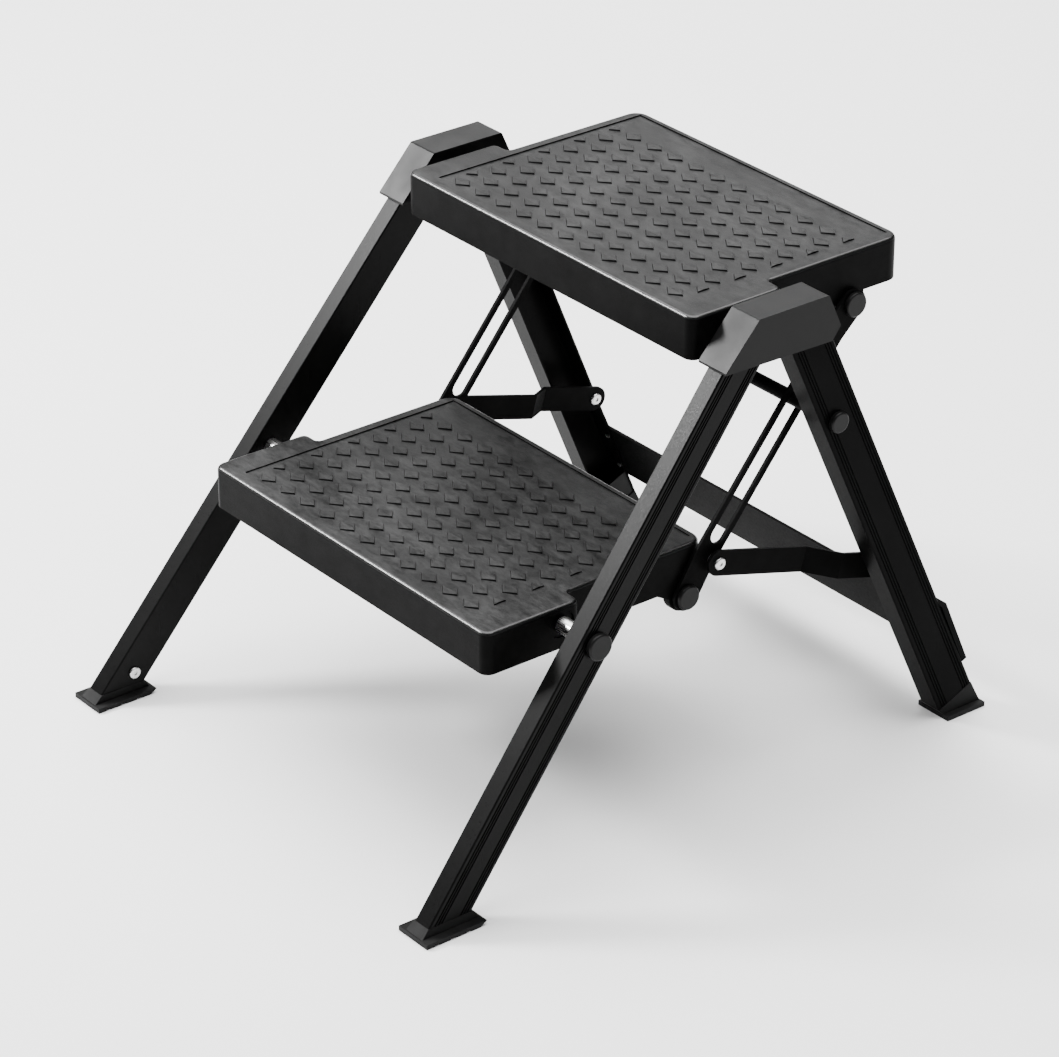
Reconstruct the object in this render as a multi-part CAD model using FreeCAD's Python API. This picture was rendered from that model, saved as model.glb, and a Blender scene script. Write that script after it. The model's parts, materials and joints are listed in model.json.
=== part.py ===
import FreeCAD, Part
import math
import os

# Two-step folding stool, shown open. Millimetres, +Z up, origin on the floor at the
# middle of the footprint. X runs from left to right, the front of the stool faces -Y.

V = FreeCAD.Vector
os.makedirs("parts", exist_ok=True)

# ---- treads -----------------------------------------------------------------------
TREAD_HALF_FRONT = 192.0    # half width across the front ears
TREAD_HALF_BACK = 174.0     # half width behind the ears
TREAD_DEPTH = 246.0
TREAD_THICK = 39.0
EAR_DEPTH = 98.0
LOWER_TOP = 222.0           # height of the lower standing surface
RISE = 219.0                # from the lower standing surface to the upper one
TREAD_WALL = 4.0
FIELD_HALF = 163.0          # sunken field of the standing surface
FIELD_FRONT = 13.0
FIELD_BACK = 7.0
FIELD_SINK = 1.2
BUMP_PITCH_X = 28.5
BUMP_PITCH_Y = 39.8
BUMP_FIRST_ROW = 23.5
BUMP_EDGE = 155.0           # the diamonds end here on either side
BUMP_HALF_X, BUMP_HALF_Y = 10.7, 7.7
BUMP_TAPER = 0.9            # size of a diamond's top over its foot
BUMP_HIGH = 1.7
BUMP_RIDGE = 0.6            # how much the ridge stands above the front and back tips
BUMP_ROOT = 0.2             # sunk into the field, so that the solids join
LOWER_FRONT_Y, UPPER_FRONT_Y = -198.4, 13.3

# ---- legs -------------------------------------------------------------------------
FRONT_LEG_WIDE = 18.8       # across the stool
FRONT_LEG_DEEP = 34.6       # along the side of the stool
REAR_LEG_WIDE = 22.4
REAR_LEG_DEEP = 40.4
TUBE_WALL = 1.8
GROOVE = 0.9                # depth of the fine grooves along the outer sides
LEG_CORNER = 1.4
FRONT_FOOT_X, FRONT_FOOT_Y, FRONT_FOOT_Z = 238.1, -278.3, 11.0
FRONT_LEG_DX, FRONT_LEG_DY = -0.0555, 0.8128    # lean per millimetre of height
REAR_FOOT_X, REAR_FOOT_Y, REAR_FOOT_Z = 231.7, 281.2, 16.3
REAR_LEG_DX, REAR_LEG_DY = -0.0375, -0.4380
SHOE_CUT_FRONT = 11.0
PAD_HALF = 19.0             # base pad of a shoe
PAD_HIGH = 4.5
PAD_Y0 = -310.0

# ---- pivots, as (Y, Z) --------------------------------------------------------------
P_LOWER = (-119.6, 205.0)   # lower tread on the front legs
P_UPPER = (P_LOWER[0] + 178.0, P_LOWER[1] + RISE)
Q_OFFSET = (144.0, -29.0)   # link pivot seen from the tread pivot
Q_LOWER = (P_LOWER[0] + Q_OFFSET[0], P_LOWER[1] + Q_OFFSET[1])
Q_UPPER = (P_UPPER[0] + Q_OFFSET[0], P_UPPER[1] + Q_OFFSET[1])
FOLD = (105.2, 418.2)       # rear legs in the top caps
ROD = (140.0, 324.9)        # cross rod of the rear legs
BRACE_FRONT = (52.8, 201.6)
BRACE_REAR = (236.0, 148.0)
AXLE_D = 10.0
RIVET_D = 6.0
ROD_D = 12.0
RUN = 0.06                  # radial running clearance
SHOE_SCREW = (-266.5, 23.0)

# ---- linkage --------------------------------------------------------------------------
LINK_X = 176.0              # inner face of the link
LINK_THICK = 3.0
LINK_END_R = 13.0
SLOT_FROM, SLOT_TO = 50.0, 232.0
SLOT_SHIFT = -4.3
SLOT_WIDE = 15.0
SLOT_BAR = 5.5
BRACE_X = 184.0
BRACE_JOG_X = 203.0
BRACE_THICK = 3.0
BRACE_TALL = 23.0
JOG_START, JOG_END = 100.0, 127.0

# ---- caps, plate ------------------------------------------------------------------------
CAP_OUT, CAP_IN = 233.5, 199.7
CAP_WALL = 3.0
CAP_SIDE = [(14.6, 404.8), (14.6, 406.7), (49.5, 445.0), (124.4, 445.0), (138.4, 414.2),
            (129.4, 402.5)]
PLATE_HALF = 228.0
PLATE_EAR = 241.5
PLATE_Z0, PLATE_Z1 = 45.0, 102.0
PLATE_EAR_Z0, PLATE_EAR_Z1 = 48.0, 112.0
PLATE_EAR_THICK = 5.0
PLATE_THICK = 2.5


def save(shape, name):
    shape.exportStep(os.path.join("parts", name + ".step"))


def box(x0, x1, y0, y1, z0, z1):
    return Part.makeBox(x1 - x0, y1 - y0, z1 - z0, V(x0, y0, z0))


def rod_x(x0, x1, at, diameter):
    """A round bar along X."""
    return Part.makeCylinder(diameter / 2.0, x1 - x0, V(x0, at[0], at[1]), V(1, 0, 0))


def slab_x(x0, x1, side):
    """A side-view outline in Y and Z, given thickness along X."""
    points = [V(x0, y, z) for y, z in side]
    face = Part.Face(Part.makePolygon(points + points[:1]))
    return face.extrude(V(x1 - x0, 0, 0))


def fillet_where(shape, radius, test):
    edges = [e for e in shape.Edges if test(e)]
    return shape.makeFillet(radius, edges) if edges else shape


def is_vertical(edge):
    a, b = edge.firstVertex().Point, edge.lastVertex().Point
    return abs(a.x - b.x) < 1e-6 and abs(a.y - b.y) < 1e-6 and abs(a.z - b.z) > 1e-6


def mirrored(shape):
    return shape.mirror(V(0, 0, 0), V(1, 0, 0))


def save_pair(shape, name):
    save(shape, name + "_right")
    save(mirrored(shape), name + "_left")


# ---- legs --------------------------------------------------------------------------------
def leg_axes(dx, dy):
    along = V(dx, dy, 1.0)
    along.normalize()
    out = V(1, 0, 0) - along * along.x
    out.normalize()
    back = along.cross(out)
    return along, out, back


def place(shape, origin, dx, dy):
    """Local X out of the stool, local Y to its back, local Z up the leg."""
    along, out, back = leg_axes(dx, dy)
    matrix = FreeCAD.Matrix(out.x, back.x, along.x, origin.x,
                            out.y, back.y, along.y, origin.y,
                            out.z, back.z, along.z, origin.z,
                            0, 0, 0, 1)
    return shape.transformed(matrix)


def grooved_outer_edge(half_wide, deep):
    """The outer side of a leg section: two groups of three small grooves."""
    points = []
    for centre in (-deep / 2 + 7.0, deep / 2 - 7.0):
        for k in (-1, 0, 1):
            y = centre + 2.6 * k
            points += [(half_wide, y - 0.9), (half_wide - GROOVE, y - 0.5),
                       (half_wide - GROOVE, y + 0.5), (half_wide, y + 0.9)]
    return points


def section(points, length, start):
    ring = [V(x, y, start) for x, y in points]
    return Part.Face(Part.makePolygon(ring + ring[:1])).extrude(V(0, 0, length))


def round_leg(bar, sides, hd):
    def corner(edge):
        p = edge.firstVertex().Point
        return is_vertical(edge) and abs(abs(p.y) - hd) < 1e-6 and any(abs(p.x - x) < 1e-6 for x in sides)
    return fillet_where(bar, LEG_CORNER, corner)


def front_leg():
    hw, hd, w = FRONT_LEG_WIDE / 2, FRONT_LEG_DEEP / 2, TUBE_WALL
    outer = [(-hw, -hd), (hw, -hd)]
    outer += grooved_outer_edge(hw, FRONT_LEG_DEEP)
    outer += [(hw, hd), (-hw, hd)]
    inner = [(-hw + w, -hd + w), (hw - w, -hd + w), (hw - w, hd - w), (-hw + w, hd - w)]
    bar = round_leg(section(outer, 600.0, -40.0), (-hw, hw), hd)
    tube = bar.cut(section(inner, 620.0, -50.0))
    tube = place(tube, V(FRONT_FOOT_X, FRONT_FOOT_Y, FRONT_FOOT_Z), FRONT_LEG_DX, FRONT_LEG_DY)
    keep = slab_x(150, 300, [(-400, SHOE_CUT_FRONT), (200, SHOE_CUT_FRONT), (200, 440.6),
                             (50.9, 440.6), (18.0, 404.5), (-400, 300)])
    tube = tube.common(keep)
    for at in (P_LOWER, P_UPPER):
        tube = tube.cut(rod_x(150, 300, at, AXLE_D))
    return tube.cut(shoe_screw()).cut(top_cap())


def rear_leg():
    hw, hd, w = REAR_LEG_WIDE / 2, REAR_LEG_DEEP / 2, TUBE_WALL
    outer = [(-hw, -hd), (hw, -hd)]
    outer += grooved_outer_edge(hw, REAR_LEG_DEEP)
    outer += [(hw, hd), (-hw, hd), (-hw, hd - w)]
    outer += [(hw - w, hd - w), (hw - w, -hd + w), (-hw, -hd + w)]
    origin = V(REAR_FOOT_X, REAR_FOOT_Y, REAR_FOOT_Z)
    channel = round_leg(section(outer, 480.0, 0.0), (hw,), hd)
    channel = place(channel, origin, REAR_LEG_DX, REAR_LEG_DY)
    channel = channel.common(box(150, 300, -100, 400, 0, FOLD[1]).fuse(
        rod_x(150, 300, FOLD, REAR_LEG_DEEP)))
    channel = channel.cut(rod_x(150, 300, FOLD, RIVET_D + 2 + 2 * RUN))
    return channel.cut(rod_x(150, 300, ROD, ROD_D))


def leg_x(z, foot_x, foot_z, lean):
    return foot_x + lean * (z - foot_z)


def front_leg_x(z):
    return leg_x(z, FRONT_FOOT_X, FRONT_FOOT_Z, FRONT_LEG_DX)


def rear_leg_x(z):
    return leg_x(z, REAR_FOOT_X, REAR_FOOT_Z, REAR_LEG_DX)


# ---- shoes --------------------------------------------------------------------------------
def loft(rings):
    wires = [Part.makePolygon([V(*p) for p in ring + ring[:1]]) for ring in rings]
    return Part.makeLoft(wires, True, True)


def ring(xc, half, y0, y1, z):
    return [(xc - half, y0, z), (xc + half, y0, z), (xc + half, y1, z), (xc - half, y1, z)]


def front_shoe():
    xc = FRONT_FOOT_X
    y0 = FRONT_FOOT_Y - 22.3
    y1 = FRONT_FOOT_Y + 22.3
    plate = loft([ring(xc + 0.6, PAD_HALF, PAD_Y0, -256.0, 0.0),
                  ring(xc + 0.6, PAD_HALF, PAD_Y0, -249.0, PAD_HIGH)])
    body = loft([ring(xc + 0.5, 11.0, PAD_Y0 + 1.5, -252.0, PAD_HIGH),
                 ring(xc, 9.6, y0 - 0.4, y1 + 0.4, SHOE_CUT_FRONT - 0.1)])
    hw, hd = FRONT_LEG_WIDE / 2 - TUBE_WALL - 0.1, FRONT_LEG_DEEP / 2 - TUBE_WALL - 0.1
    plug = section([(-hw, -hd), (hw, -hd), (hw, hd), (-hw, hd)], 60.0, -15.0)
    plug = place(plug, V(xc, FRONT_FOOT_Y, FRONT_FOOT_Z), FRONT_LEG_DX, FRONT_LEG_DY)
    plug = plug.common(box(150, 300, -400, -150, 8.0, 60.0))
    shoe = plate.fuse(body).fuse(plug)
    for k in range(3):
        y = PAD_Y0 + 8.0 + 16.0 * k
        shoe = shoe.cut(box(xc - 30, xc + 30, y, y + 5.0, -1.0, 1.5))
    return shoe.removeSplitter().cut(shoe_screw())


def shoe_screw():
    x = FRONT_FOOT_X - FRONT_LEG_WIDE / 2
    shank = rod_x(x - 1.4, x + 6.0, SHOE_SCREW, 4.0)
    head = fillet_where(rod_x(x - 3.2, x - 1.4, SHOE_SCREW, 11.0), 1.0,
                        lambda e: e.BoundBox.XMax < x - 3.1)
    return shank.fuse(head).cut(socket(x - 3.2, SHOE_SCREW))


def rear_shoe():
    xc = rear_leg_x(0.0)
    plate = box(xc - PAD_HALF, xc + PAD_HALF, 266.0, -PAD_Y0, 0.0, PAD_HIGH)
    hw = REAR_LEG_WIDE / 2 + 0.3
    along, out, back = leg_axes(REAR_LEG_DX, REAR_LEG_DY)
    base = V(REAR_FOOT_X, REAR_FOOT_Y, REAR_FOOT_Z)
    front = base - back * (REAR_LEG_DEEP / 2)
    rear = base + back * (REAR_LEG_DEEP / 2)
    top = [(front.x - hw, front.y, front.z), (front.x + hw, front.y, front.z),
           (rear.x + hw, rear.y, rear.z), (rear.x - hw, rear.y, rear.z)]
    body = loft([ring(xc, 13.0, 266.2, -PAD_Y0 - 1.0, PAD_HIGH), top])
    hwp, hdp = REAR_LEG_WIDE / 2 - TUBE_WALL - 0.1, REAR_LEG_DEEP / 2 - TUBE_WALL - 0.1
    plug = section([(-hwp - 1, -hdp), (hwp, -hdp), (hwp, hdp), (-hwp - 1, hdp)], 30.0, -2.0)
    plug = place(plug, base, REAR_LEG_DX, REAR_LEG_DY)
    return plate.fuse(body).fuse(plug).removeSplitter()


# ---- treads --------------------------------------------------------------------------------
def tread_outline(inset, z):
    f, b = TREAD_HALF_FRONT - inset, TREAD_HALF_BACK - inset
    pts = [(-f, inset), (f, inset), (f, EAR_DEPTH - inset), (b, EAR_DEPTH - inset),
           (b, TREAD_DEPTH - inset), (-b, TREAD_DEPTH - inset), (-b, EAR_DEPTH - inset),
           (-f, EAR_DEPTH - inset)]
    return Part.Face(Part.makePolygon([V(x, y, z) for x, y in pts + pts[:1]]))


def round_corners(solid, inset):
    def near(edge, x, y):
        p = edge.firstVertex().Point
        return is_vertical(edge) and abs(abs(p.x) - x) < 0.1 and abs(p.y - y) < 0.1
    corners = ((TREAD_HALF_FRONT, 0.0, 9.0), (TREAD_HALF_FRONT, EAR_DEPTH, 7.0),
               (TREAD_HALF_BACK, EAR_DEPTH, 4.0), (TREAD_HALF_BACK, TREAD_DEPTH, 14.0))
    for x, y, radius in corners:
        real_x = x - inset
        real_y = inset if y == 0.0 else y - inset
        size = max(radius - inset, 1.5) if radius != 4.0 else 4.0 + inset
        solid = fillet_where(solid, size, lambda e: near(e, real_x, real_y))
    return solid


def diamond():
    """One raised diamond of the tread pattern, long in X, with a shallow ridge along X."""
    low = [V(-BUMP_HALF_X, 0, 0), V(0, -BUMP_HALF_Y, 0), V(BUMP_HALF_X, 0, 0), V(0, BUMP_HALF_Y, 0)]
    up = [V(p.x * BUMP_TAPER, p.y * BUMP_TAPER, BUMP_HIGH) for p in low]
    block = Part.makeLoft([Part.makePolygon(low + low[:1]), Part.makePolygon(up + up[:1])], True, True)
    eave = BUMP_HIGH - BUMP_RIDGE
    roof = slab_x(-BUMP_HALF_X, BUMP_HALF_X, [(-BUMP_HALF_Y, -0.1), (BUMP_HALF_Y, -0.1), (BUMP_HALF_Y, eave),
                                              (0.0, BUMP_HIGH), (-BUMP_HALF_Y, eave)])
    return block.common(roof)


def placed(shape, x, y, z):
    copy = shape.copy()
    copy.translate(V(x, y, z))
    return copy


def tread_lobe(pivot, sign):
    """The ear under the back of a tread that carries the link pivot."""
    y, z = pivot
    r = 15.0
    side = [(y - 45, z + 12), (y - 30, z + 8)]
    side += [(y - r * math.cos(a), z - r * math.sin(a))
             for a in [math.radians(d) for d in range(0, 181, 15)]]
    side += [(y + r, z + 12)]
    x0, x1 = TREAD_HALF_BACK - 8.0, TREAD_HALF_BACK
    lobe = slab_x(x0, x1, side)
    return lobe if sign > 0 else mirrored(lobe)


def tread(axle, link_pin, y_front, z_top):
    """Moulded tread: skin, ribs below, sunken field with raised diamonds above."""
    bottom = -TREAD_THICK
    skin = round_corners(tread_outline(0.0, bottom).extrude(V(0, 0, TREAD_THICK)), 0.0)
    skin = fillet_where(skin, 4.0, lambda e: abs(e.firstVertex().Point.z) < 1e-6
                        and abs(e.lastVertex().Point.z) < 1e-6
                        and max(e.BoundBox.YMax, 0) < 9.5)
    core = round_corners(tread_outline(TREAD_WALL, bottom - 1).extrude(
        V(0, 0, TREAD_THICK - TREAD_WALL + 1)), TREAD_WALL)
    body = skin.cut(core)
    ribs = []
    for k in range(-5, 6):
        x = 30.0 * k
        ribs.append(box(x - 1.25, x + 1.25, 2.0, TREAD_DEPTH - 2.0, bottom + 6, -2.0))
    for k in range(1, 6):
        y = 41.0 * k
        half = (TREAD_HALF_FRONT if y < EAR_DEPTH - 5 else TREAD_HALF_BACK) - 2.0
        ribs.append(box(-half, half, y - 1.25, y + 1.25, bottom + 6, -2.0))
    body = body.multiFuse(ribs)
    axle_at = (axle[0] - y_front, axle[1] - z_top)
    link_at = (link_pin[0] - y_front, link_pin[1] - z_top)
    for sign in (-1, 1):
        boss = rod_x(162.0, TREAD_HALF_FRONT - 1.0, axle_at, 24.0)
        body = body.fuse(boss if sign > 0 else mirrored(boss))
        body = body.fuse(tread_lobe(link_at, sign))
    field = box(-FIELD_HALF, FIELD_HALF, FIELD_FRONT, TREAD_DEPTH - FIELD_BACK, -FIELD_SINK, 1.0)
    body = body.cut(field)
    bumps = []
    one = diamond()
    base = -FIELD_SINK - BUMP_ROOT
    inside = box(-BUMP_EDGE, BUMP_EDGE, 0, TREAD_DEPTH, -10, 10)
    rows = int((TREAD_DEPTH - 30) / (BUMP_PITCH_Y / 2))
    for row in range(rows):
        y = BUMP_FIRST_ROW + row * BUMP_PITCH_Y / 2
        odd = row % 2
        for k in range(-5, 6 - odd):
            x = (k + 0.5 * odd) * BUMP_PITCH_X
            bumps.append(placed(one, x, y, base))
        if odd:
            x = 5.5 * BUMP_PITCH_X
            bumps += [placed(one, side * x, y, base).common(inside) for side in (-1, 1)]
    body = body.multiFuse(bumps)
    for sign in (-1, 1):
        hole = rod_x(155.0, TREAD_HALF_FRONT + 5.0, axle_at, AXLE_D + 2 * RUN)
        hole = hole.fuse(rod_x(TREAD_HALF_FRONT - 1.5, TREAD_HALF_FRONT + 5.0, axle_at, 25.0))
        pin = rod_x(150.0, TREAD_HALF_BACK + 5.0, link_at, RIVET_D)
        body = body.cut(hole if sign > 0 else mirrored(hole))
        body = body.cut(pin if sign > 0 else mirrored(pin))
        relief = box(LINK_X - 1.0, LINK_X + LINK_THICK + 1.0, EAR_DEPTH - 12.0, EAR_DEPTH + 1.0,
                     bottom - 1.0, bottom + 9.0)
        body = body.cut(relief if sign > 0 else mirrored(relief))
    body.translate(V(0, y_front, z_top))
    return body


# ---- linkage --------------------------------------------------------------------------------
def link():
    a, b = Q_LOWER, Q_UPPER
    length = math.hypot(b[0] - a[0], b[1] - a[1])
    uy, uz = (b[0] - a[0]) / length, (b[1] - a[1]) / length

    def at(along, across):
        return (a[0] + uy * along + uz * across, a[1] + uz * along - uy * across)

    x0, x1 = LINK_X, LINK_X + LINK_THICK
    half = SLOT_WIDE / 2
    low, high = SLOT_SHIFT - half - SLOT_BAR, SLOT_SHIFT + half + SLOT_BAR
    plate = slab_x(x0, x1, [at(0, -LINK_END_R), at(34, low), at(length - 30, low), at(length, -LINK_END_R),
                            at(length, LINK_END_R), at(length - 30, high), at(34, high),
                            at(0, LINK_END_R)])
    plate = plate.fuse(rod_x(x0, x1, a, 2 * LINK_END_R)).fuse(rod_x(x0, x1, b, 2 * LINK_END_R))
    slot = slab_x(x0 - 1, x1 + 1, [at(SLOT_FROM + half, SLOT_SHIFT - half),
                                   at(SLOT_TO - half, SLOT_SHIFT - half),
                                   at(SLOT_TO - half, SLOT_SHIFT + half),
                                   at(SLOT_FROM + half, SLOT_SHIFT + half)])
    for end in (SLOT_FROM + half, SLOT_TO - half):
        slot = slot.fuse(rod_x(x0 - 1, x1 + 1, at(end, SLOT_SHIFT), SLOT_WIDE))
    plate = plate.cut(slot)
    for at_pin in (a, b):
        plate = plate.cut(rod_x(x0 - 1, x1 + 1, at_pin, RIVET_D + 2 * RUN))
    return plate.cut(rod_x(x0 - 1, x1 + 1, BRACE_FRONT, RIVET_D)).removeSplitter()


def brace():
    dy, dz = BRACE_REAR[0] - BRACE_FRONT[0], BRACE_REAR[1] - BRACE_FRONT[1]
    length = math.hypot(dy, dz)
    t, r = BRACE_THICK, BRACE_TALL / 2
    steps = [(-r, BRACE_X), (JOG_START, BRACE_X), (JOG_END, BRACE_JOG_X), (length + r, BRACE_JOG_X),
             (length + r, BRACE_JOG_X + t), (JOG_END - 1, BRACE_JOG_X + t),
             (JOG_START - 1, BRACE_X + t), (-r, BRACE_X + t)]
    plan = [V(x, y, -r) for y, x in steps]
    strip = Part.Face(Part.makePolygon(plan + plan[:1])).extrude(V(0, 0, 2 * r))
    mask = box(150, 250, 0, length, -r, r)
    for y in (0.0, length):
        mask = mask.fuse(Part.makeCylinder(r, 100, V(150, y, 0), V(1, 0, 0)))
    strip = strip.common(mask)
    strip = strip.cut(Part.makeCylinder(RIVET_D / 2 + RUN, 100, V(150, 0, 0), V(1, 0, 0)))
    strip = strip.cut(Part.makeCylinder(RIVET_D / 2, 100, V(150, length, 0), V(1, 0, 0)))
    strip.rotate(V(0, 0, 0), V(1, 0, 0), math.degrees(math.atan2(dz, dy)))
    strip.translate(V(0, BRACE_FRONT[0], BRACE_FRONT[1]))
    return strip.removeSplitter()


# ---- caps and pins ----------------------------------------------------------------------------
def inset_side(side, d):
    face = Part.Face(Part.makePolygon([V(0, y, z) for y, z in side + side[:1]]))
    wire = face.makeOffset2D(-d)
    points = [v.Point for v in wire.OuterWire.OrderedVertexes]
    return [(p.y, p.z) for p in points]


def top_cap():
    outer = slab_x(CAP_IN, CAP_OUT, CAP_SIDE)
    outer = fillet_where(outer, 2.0, lambda e: e.BoundBox.XLength > 10 and e.BoundBox.ZMin > 410)
    cavity_side = inset_side(CAP_SIDE, CAP_WALL)
    cavity = slab_x(CAP_IN + CAP_WALL, CAP_OUT - CAP_WALL, cavity_side)
    mouth = slab_x(CAP_IN + CAP_WALL, CAP_OUT - CAP_WALL,
                   [(20.5, 400), (20.5, 412), (60, 412), (60, 417), (150, 417), (150, 400)])
    cap = outer.cut(cavity).cut(mouth)
    cap = cap.cut(rod_x(CAP_IN - 1, CAP_IN + CAP_WALL + 1, P_UPPER, AXLE_D))
    return cap.cut(rod_x(CAP_IN - 1, CAP_OUT - CAP_WALL + 1, FOLD, RIVET_D + 2))


def round_cap(x, at, diameter, high):
    """A pressed-on round cover with a softened rim, its flat side at x."""
    body = rod_x(x, x + high, at, diameter)
    return fillet_where(body, high * 0.4, lambda e: e.BoundBox.XMax > x + high - 0.01
                        and e.BoundBox.XLength < 0.01)


def rivet(x0, x1, at, shank, head, head_high):
    """A shank from x0 to x1 with a low round head standing out beyond x1."""
    body = rod_x(x0, x1, at, shank).fuse(rod_x(x1, x1 + head_high, at, head))
    return fillet_where(body, head_high * 0.6, lambda e: e.BoundBox.XMin > x1 + head_high - 0.01)


def socket(x, at):
    """A small hexagon socket sunk 0.9 mm to either side of x."""
    points = [(at[0] + 2.0 * math.cos(math.radians(60 * k)), at[1] + 2.0 * math.sin(math.radians(60 * k)))
              for k in range(6)]
    return slab_x(x - 0.9, x + 0.9, points)


def washer(x0, x1, at, outer, inner):
    return rod_x(x0, x1, at, outer).cut(rod_x(x0 - 1, x1 + 1, at, inner))


def axle_lower():
    leg_in = front_leg_x(P_LOWER[1]) - FRONT_LEG_WIDE / 2
    leg_out = leg_in + FRONT_LEG_WIDE
    pin = rod_x(164.0, leg_out + 2.0, P_LOWER, AXLE_D)
    return pin.fuse(rod_x(TREAD_HALF_FRONT + 0.4, leg_in - 0.6, P_LOWER, 15.0))


def axle_upper():
    leg_out = front_leg_x(P_UPPER[1]) + FRONT_LEG_WIDE / 2
    pin = rod_x(164.0, leg_out + 1.0, P_UPPER, AXLE_D)
    return pin.fuse(rod_x(TREAD_HALF_FRONT + 0.4, CAP_IN, P_UPPER, 15.0))


# ---- rear frame plate ---------------------------------------------------------------------------
def rear_face_y(z):
    return REAR_FOOT_Y + REAR_LEG_DY * (z - REAR_FOOT_Z) + 22.15


def cross_plate():
    def strip(z0, z1, x, thick):
        y0, y1 = rear_face_y(z0), rear_face_y(z1)
        rise = 0.438 * thick
        return slab_x(-x, x, [(y0, z0), (y0 + thick, z0 + rise), (y1 + thick, z1 + rise), (y1, z1)])
    ears = strip(PLATE_EAR_Z0, PLATE_EAR_Z1, PLATE_EAR, PLATE_EAR_THICK)
    ears = ears.cut(box(-PLATE_HALF, PLATE_HALF, 0, 400, 0, 200))
    plate = strip(PLATE_Z0, PLATE_Z1, PLATE_HALF + 1.0, PLATE_THICK)
    return plate.fuse(ears).removeSplitter()


def plate_rivets():
    along, out, back = leg_axes(REAR_LEG_DX, REAR_LEG_DY)
    normal = V(0, 1.0, 0.438)
    normal.normalize()
    rivets = []
    for z in (56.0, 92.0):
        x = rear_leg_x(z) - 5.0
        base = V(x, rear_face_y(z), z)
        shank = Part.makeCylinder(2.4, 5.5, base - normal * 3.0, normal)
        head = Part.makeCylinder(5.0, 1.6, base + normal * (PLATE_THICK - 0.02), normal)
        rivets.append(shank.fuse(head))
    return rivets


def with_holes(plate, rivets):
    for one in rivets:
        plate = plate.cut(one).cut(mirrored(one))
    return plate


def build():
    save_pair(front_leg(), "front_leg")
    save_pair(front_shoe(), "front_shoe")
    save_pair(top_cap(), "top_cap")
    save_pair(axle_lower(), "lower_axle")
    save_pair(axle_upper(), "upper_axle")
    leg_out = front_leg_x(P_LOWER[1]) + FRONT_LEG_WIDE / 2
    save_pair(round_cap(leg_out + 1.1, P_LOWER, 24.0, 5.0).cut(
        rod_x(leg_out - 1, leg_out + 2.05, P_LOWER, AXLE_D)), "lower_axle_cap")
    fold_out = CAP_OUT - CAP_WALL
    save_pair(rod_x(CAP_IN - 1.5, fold_out, FOLD, RIVET_D + 2).fuse(
        rod_x(CAP_IN - 1.5, CAP_IN, FOLD, 14.0)), "fold_pin")
    save_pair(shoe_screw(), "shoe_screw")

    rivets = plate_rivets()
    leg = rear_leg()
    for one in rivets:
        leg = leg.cut(one)
    save_pair(leg, "rear_leg")
    save_pair(rear_shoe(), "rear_shoe")
    save(with_holes(cross_plate(), rivets), "cross_plate")
    save(Part.makeCompound(rivets + [mirrored(r) for r in rivets]), "plate_rivets")
    rod_out = rear_leg_x(ROD[1]) + REAR_LEG_WIDE / 2
    save(rod_x(-rod_out, rod_out, ROD, ROD_D), "cross_rod")
    save_pair(round_cap(rod_out + 0.5, ROD, 19.0, 4.5), "rod_cap")

    for name, axle, pin in (("lower", P_LOWER, Q_LOWER), ("upper", P_UPPER, Q_UPPER)):
        y_front = LOWER_FRONT_Y if name == "lower" else UPPER_FRONT_Y
        z_top = LOWER_TOP if name == "lower" else LOWER_TOP + RISE
        save(tread(axle, pin, y_front, z_top), name + "_tread")
        save_pair(washer(TREAD_HALF_BACK, LINK_X - 0.3, pin, 18.0, RIVET_D), name + "_link_washer")
        save_pair(rod_x(TREAD_HALF_BACK - 8, LINK_X + LINK_THICK + 0.5, pin, RIVET_D), name + "_link_pin")
        save_pair(round_cap(LINK_X + LINK_THICK + 0.4, pin, 22.0, 4.0).cut(
            rod_x(0, LINK_X + LINK_THICK + 0.5, pin, RIVET_D)), name + "_link_cap")

    save_pair(link(), "link")
    link_out = LINK_X + LINK_THICK
    save_pair(washer(link_out, BRACE_X - 0.3, BRACE_FRONT, 13.0, RIVET_D), "brace_spacer")
    face = BRACE_X + BRACE_THICK + 0.3
    front_rivet = rivet(LINK_X, face, BRACE_FRONT, RIVET_D, 11.0, 2.2)
    save_pair(front_rivet.cut(socket(face + 2.2, BRACE_FRONT)), "brace_rivet")
    save_pair(brace(), "brace")
    head_in = rod_x(BRACE_JOG_X - 2.2, BRACE_JOG_X, BRACE_REAR, 11.0)
    head_in = fillet_where(head_in, 1.3, lambda e: e.BoundBox.XMax < BRACE_JOG_X - 2.1)
    shank = rod_x(BRACE_JOG_X - 1.0, BRACE_JOG_X + BRACE_THICK + 2.0, BRACE_REAR, RIVET_D)
    collar = rod_x(BRACE_JOG_X + BRACE_THICK, BRACE_JOG_X + BRACE_THICK + 2.0, BRACE_REAR, 10.0)
    rear_rivet = head_in.fuse(shank).fuse(collar).cut(socket(BRACE_JOG_X - 2.2, BRACE_REAR))
    save_pair(rear_rivet, "brace_rear_rivet")


build()
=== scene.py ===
import bpy
import json
import math
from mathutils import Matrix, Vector

# Looks, floor, light and camera for the two-step folding stool. Every shape comes from the
# CAD frame: this script adds materials and softened edges to its pieces and moves nothing.

EDGE_ANGLE = math.radians(35)
EDGE_WIDTH = {"tread": 0.0004, "leg": 0.00025, "cap": 0.0009, "shoe": 0.0008,
              "dark_steel": 0.0003, "bright_steel": 0.0002, "cover": 0.0003}    # metres
FLOOR_SIZE = 30.0
BACKGROUND_STRENGTH = 0.12
STOOL_MIDDLE = (0.0, 0.0, 0.35)
CAMERA_PLACE = (2.6195, -2.0680, 1.9456)
CAMERA_YAW, CAMERA_PITCH = 0.903, -0.488
SENSOR_WIDTH, LENS = 36.0, 148.8

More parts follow.
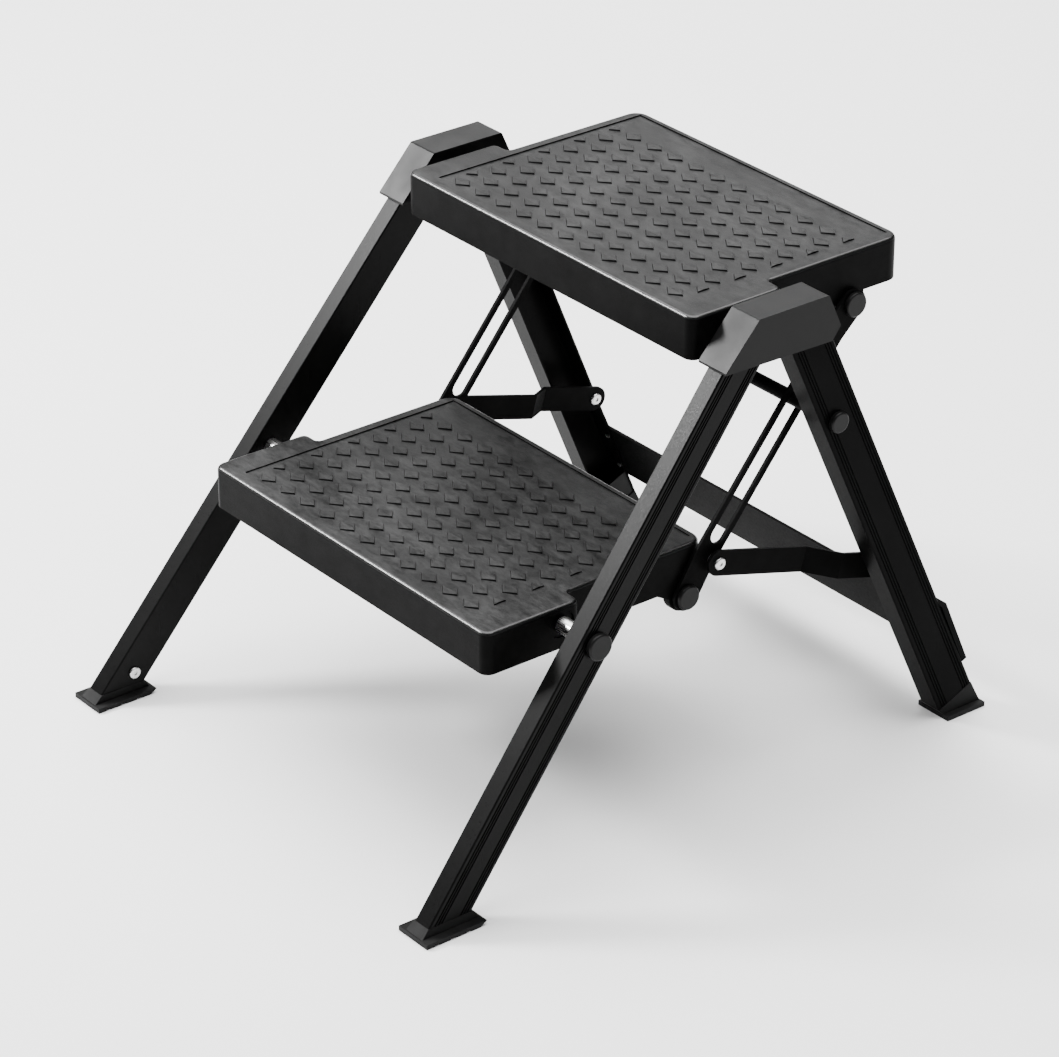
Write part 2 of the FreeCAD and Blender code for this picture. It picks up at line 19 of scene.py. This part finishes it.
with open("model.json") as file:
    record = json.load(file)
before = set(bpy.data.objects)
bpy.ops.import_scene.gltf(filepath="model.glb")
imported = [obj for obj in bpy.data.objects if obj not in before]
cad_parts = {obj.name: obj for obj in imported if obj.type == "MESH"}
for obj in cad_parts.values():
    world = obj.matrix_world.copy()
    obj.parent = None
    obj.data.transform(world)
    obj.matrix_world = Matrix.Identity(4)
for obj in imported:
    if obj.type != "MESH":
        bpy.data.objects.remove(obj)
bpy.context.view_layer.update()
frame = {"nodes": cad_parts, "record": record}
nodes = frame["nodes"]


# ---- node helpers -------------------------------------------------------------------
class Shader:
    """A Principled material built step by step."""

    def __init__(self, name):
        self.mat = bpy.data.materials.new(name)
        self.mat.use_nodes = True
        self.tree = self.mat.node_tree
        self.bsdf = self.tree.nodes["Principled BSDF"]
        self.coords = self.tree.nodes.new("ShaderNodeTexCoord").outputs["Object"]

    def add(self, kind, **sockets):
        node = self.tree.nodes.new(kind)
        for key, value in sockets.items():
            self.put(node.inputs[key.replace("_", " ")], value)
        return node

    def put(self, socket, value):
        if isinstance(value, bpy.types.NodeSocket):
            self.tree.links.new(value, socket)
        else:
            socket.default_value = value

    def noise(self, scale, detail=4.0, rough=0.5, stretch=(1, 1, 1)):
        moved = self.add("ShaderNodeMapping", Vector=self.coords, Scale=stretch)
        node = self.add("ShaderNodeTexNoise", Vector=moved.outputs[0], Scale=scale,
                        Detail=detail, Roughness=rough)
        return node.outputs["Fac"]

    def ramp(self, value, low, high, to_low=0.0, to_high=1.0):
        node = self.add("ShaderNodeMapRange", Value=value, From_Min=low, From_Max=high,
                        To_Min=to_low, To_Max=to_high)
        return node.outputs[0]

    def mix(self, factor, a, b):
        node = self.tree.nodes.new("ShaderNodeMix")
        node.data_type = "RGBA"
        self.put(node.inputs[0], factor)
        self.put(node.inputs[6], a)
        self.put(node.inputs[7], b)
        return node.outputs[2]

    def times(self, a, b):
        node = self.tree.nodes.new("ShaderNodeMath")
        node.operation = "MULTIPLY"
        self.put(node.inputs[0], a)
        self.put(node.inputs[1], b)
        return node.outputs[0]

    def facing_up(self):
        """How far the piece's own surface faces its top side, 1 on the flat top."""
        normal = self.tree.nodes.new("ShaderNodeTexCoord").outputs["Normal"]
        return self.add("ShaderNodeSeparateXYZ", Vector=normal).outputs[2]

    def bump(self, height, distance, strength, under=None):
        node = self.add("ShaderNodeBump", Height=height, Distance=distance, Strength=strength)
        if under is not None:
            self.put(node.inputs["Normal"], under)
        return node.outputs[0]

    def set(self, **sockets):
        for key, value in sockets.items():
            self.put(self.bsdf.inputs[key.replace("_", " ")], value)


def grey(value, warm=0.0):
    return (value * (1 + warm), value, value * (1 - warm), 1.0)


# ---- materials ----------------------------------------------------------------------
def tread_plastic():
    """Black moulded plastic: scuffed on top, shiny on the rounded edges, dark at the sides."""
    s = Shader("tread_plastic")
    up = s.facing_up()
    top = s.ramp(up, 0.80, 0.95)
    rounded = s.times(s.ramp(up, 0.20, 0.55), s.ramp(up, 0.98, 0.85))
    cloud = s.noise(9.0, 5.0, 0.55)
    blotch = s.noise(60.0, 6.0, 0.7)
    scratch = s.noise(70.0, 10.0, 0.85, (0.6, 1.6, 1.0))
    fine = s.noise(900.0, 3.0, 0.6)
    worn = s.times(s.ramp(scratch, 0.36, 0.66), s.ramp(cloud, 0.36, 0.60, 0.55, 1.0))
    colour = s.mix(s.ramp(blotch, 0.35, 0.7), grey(0.001), grey(0.003))
    colour = s.mix(s.times(worn, top), colour, grey(0.042))
    rough = s.mix(s.ramp(scratch, 0.3, 0.75), grey(0.33), grey(0.52))
    rough = s.mix(rounded, rough, grey(0.27))
    shine = s.mix(rounded, s.mix(top, grey(0.025), grey(0.10)), grey(0.55))
    normal = s.bump(scratch, 0.0005, 0.35, s.bump(fine, 0.00010, 0.4))
    s.set(Base_Color=colour, Roughness=rough, Specular_IOR_Level=shine, Normal=normal)
    return s.mat


def leg_finish(name, shine):
    """Black anodised aluminium with faint drawing lines along the leg."""
    s = Shader(name)
    lines = s.noise(900.0, 3.0, 0.6, (1.0, 1.0, 0.02))
    cloud = s.noise(14.0, 4.0, 0.6)
    colour = s.mix(s.ramp(cloud, 0.3, 0.7), grey(0.0015), grey(0.003))
    rough = s.ramp(lines, 0.3, 0.7, 0.27, 0.38)
    s.set(Base_Color=colour, Roughness=rough, Specular_IOR_Level=shine,
          Normal=s.bump(lines, 0.00004, 0.4))
    return s.mat


def black_finish(name, grain_scale, cloud_scale, tones, gloss, shine, relief,
                 relief_strength=0.5, rough_by_grain=False):
    """A black surface with a fine grain and slow changes of tone; gloss is a roughness range."""
    s = Shader(name)
    grain = s.noise(grain_scale, 3.0, 0.6)
    cloud = s.noise(cloud_scale, 4.0, 0.6)
    colour = s.mix(s.ramp(cloud, 0.3, 0.7), grey(tones[0]), grey(tones[1]))
    rough = s.ramp(grain if rough_by_grain else cloud, 0.3, 0.7, gloss[0], gloss[1])
    s.set(Base_Color=colour, Roughness=rough, Specular_IOR_Level=shine,
          Normal=s.bump(grain, relief, relief_strength))
    return s.mat


def bright_steel():
    """Bare turned steel of the axles, pins, rivets and screws."""
    s = Shader("bright_steel")
    turned = s.noise(800.0, 3.0, 0.6, (0.05, 1.0, 1.0))
    colour = s.mix(s.ramp(turned, 0.3, 0.7), grey(0.55, 0.01), grey(0.72, 0.01))
    rough = s.ramp(turned, 0.3, 0.7, 0.22, 0.36)
    s.set(Base_Color=colour, Roughness=rough, Metallic=1.0,
          Normal=s.bump(turned, 0.00003, 0.4))
    return s.mat


def shoe_plastic():
    """Dull black moulded feet."""
    s = Shader("shoe_plastic")
    grain = s.noise(900.0, 3.0, 0.6)
    cloud = s.noise(40.0, 5.0, 0.65)
    colour = s.mix(s.ramp(cloud, 0.35, 0.7), grey(0.002), grey(0.006))
    rough = s.ramp(cloud, 0.3, 0.7, 0.45, 0.65)
    s.set(Base_Color=colour, Roughness=rough, Specular_IOR_Level=0.12,
          Normal=s.bump(grain, 0.0001, 0.5))
    return s.mat


finish = {
    "tread": tread_plastic(),
    "leg": leg_finish("front_leg_finish", 0.07),
    "rear_leg": leg_finish("rear_leg_finish", 0.02),
    "cap": black_finish("cap_finish", 700.0, 25.0, (0.002, 0.004), (0.28, 0.38), 0.11, 0.00006),
    "dark_steel": black_finish("dark_steel", 500.0, 30.0, (0.002, 0.004), (0.34, 0.5), 0.015,
                               0.00005, rough_by_grain=True),
    "cover": black_finish("cover_plastic", 600.0, 60.0, (0.004, 0.007), (0.28, 0.4), 0.12,
                          0.00005, relief_strength=0.4),
    "bright_steel": bright_steel(),
    "shoe": shoe_plastic(),
}
slot_of = {p["node"]: p["material_slot"] for p in frame["record"]["subparts"]}
for name, obj in nodes.items():
    kind = "rear_leg" if name.startswith("rear_leg") else slot_of[name]
    obj.data.materials.clear()
    obj.data.materials.append(finish[kind])

# ---- softened edges -----------------------------------------------------------------
for name, obj in nodes.items():
    bevel = obj.modifiers.new("edge", "BEVEL")
    bevel.width = EDGE_WIDTH[slot_of[name]]
    bevel.segments = 2
    bevel.limit_method = "ANGLE"
    bevel.angle_limit = EDGE_ANGLE
    bevel.harden_normals = False

# ---- floor, light and camera --------------------------------------------------------
floor_shader = Shader("floor")
floor_tone = floor_shader.noise(3.0, 3.0, 0.5)
floor_shader.set(Base_Color=floor_shader.mix(floor_tone, grey(0.90), grey(0.92)), Roughness=0.7)
bpy.ops.mesh.primitive_plane_add(size=FLOOR_SIZE, location=(0, 0, 0))
floor = bpy.context.object
floor.name = "floor"
floor.data.materials.append(floor_shader.mat)

world = bpy.data.worlds.new("studio")
bpy.context.scene.world = world
world.use_nodes = True
background = world.node_tree.nodes["Background"]
background.inputs["Color"].default_value = (1.0, 1.0, 1.0, 1.0)
background.inputs["Strength"].default_value = BACKGROUND_STRENGTH


def soft_light(name, place, aim, size, watts):
    data = bpy.data.lights.new(name, "AREA")
    data.shape = "RECTANGLE"
    data.size, data.size_y = size
    data.energy = watts
    lamp = bpy.data.objects.new(name, data)
    bpy.context.collection.objects.link(lamp)
    lamp.location = place
    lamp.rotation_euler = (Vector(aim) - Vector(place)).to_track_quat("-Z", "Y").to_euler()


soft_light("overhead", (-1.1, 0.8, 5.0), (-0.4, 0.3, 0.0), (7.0, 7.0), 1250)
soft_light("key", (-1.9, -1.4, 1.75), STOOL_MIDDLE, (0.7, 0.45), 130)
soft_light("rim", (-2.2, 1.9, 1.55), STOOL_MIDDLE, (1.2, 0.5), 9)

cam_data = bpy.data.cameras.new("camera")
cam_data.sensor_width = SENSOR_WIDTH
cam_data.lens = LENS
cam = bpy.data.objects.new("camera", cam_data)
bpy.context.collection.objects.link(cam)
cam.location = CAMERA_PLACE
cam.rotation_euler = (math.pi / 2 + CAMERA_PITCH, 0.0, CAMERA_YAW)
bpy.context.scene.camera = cam
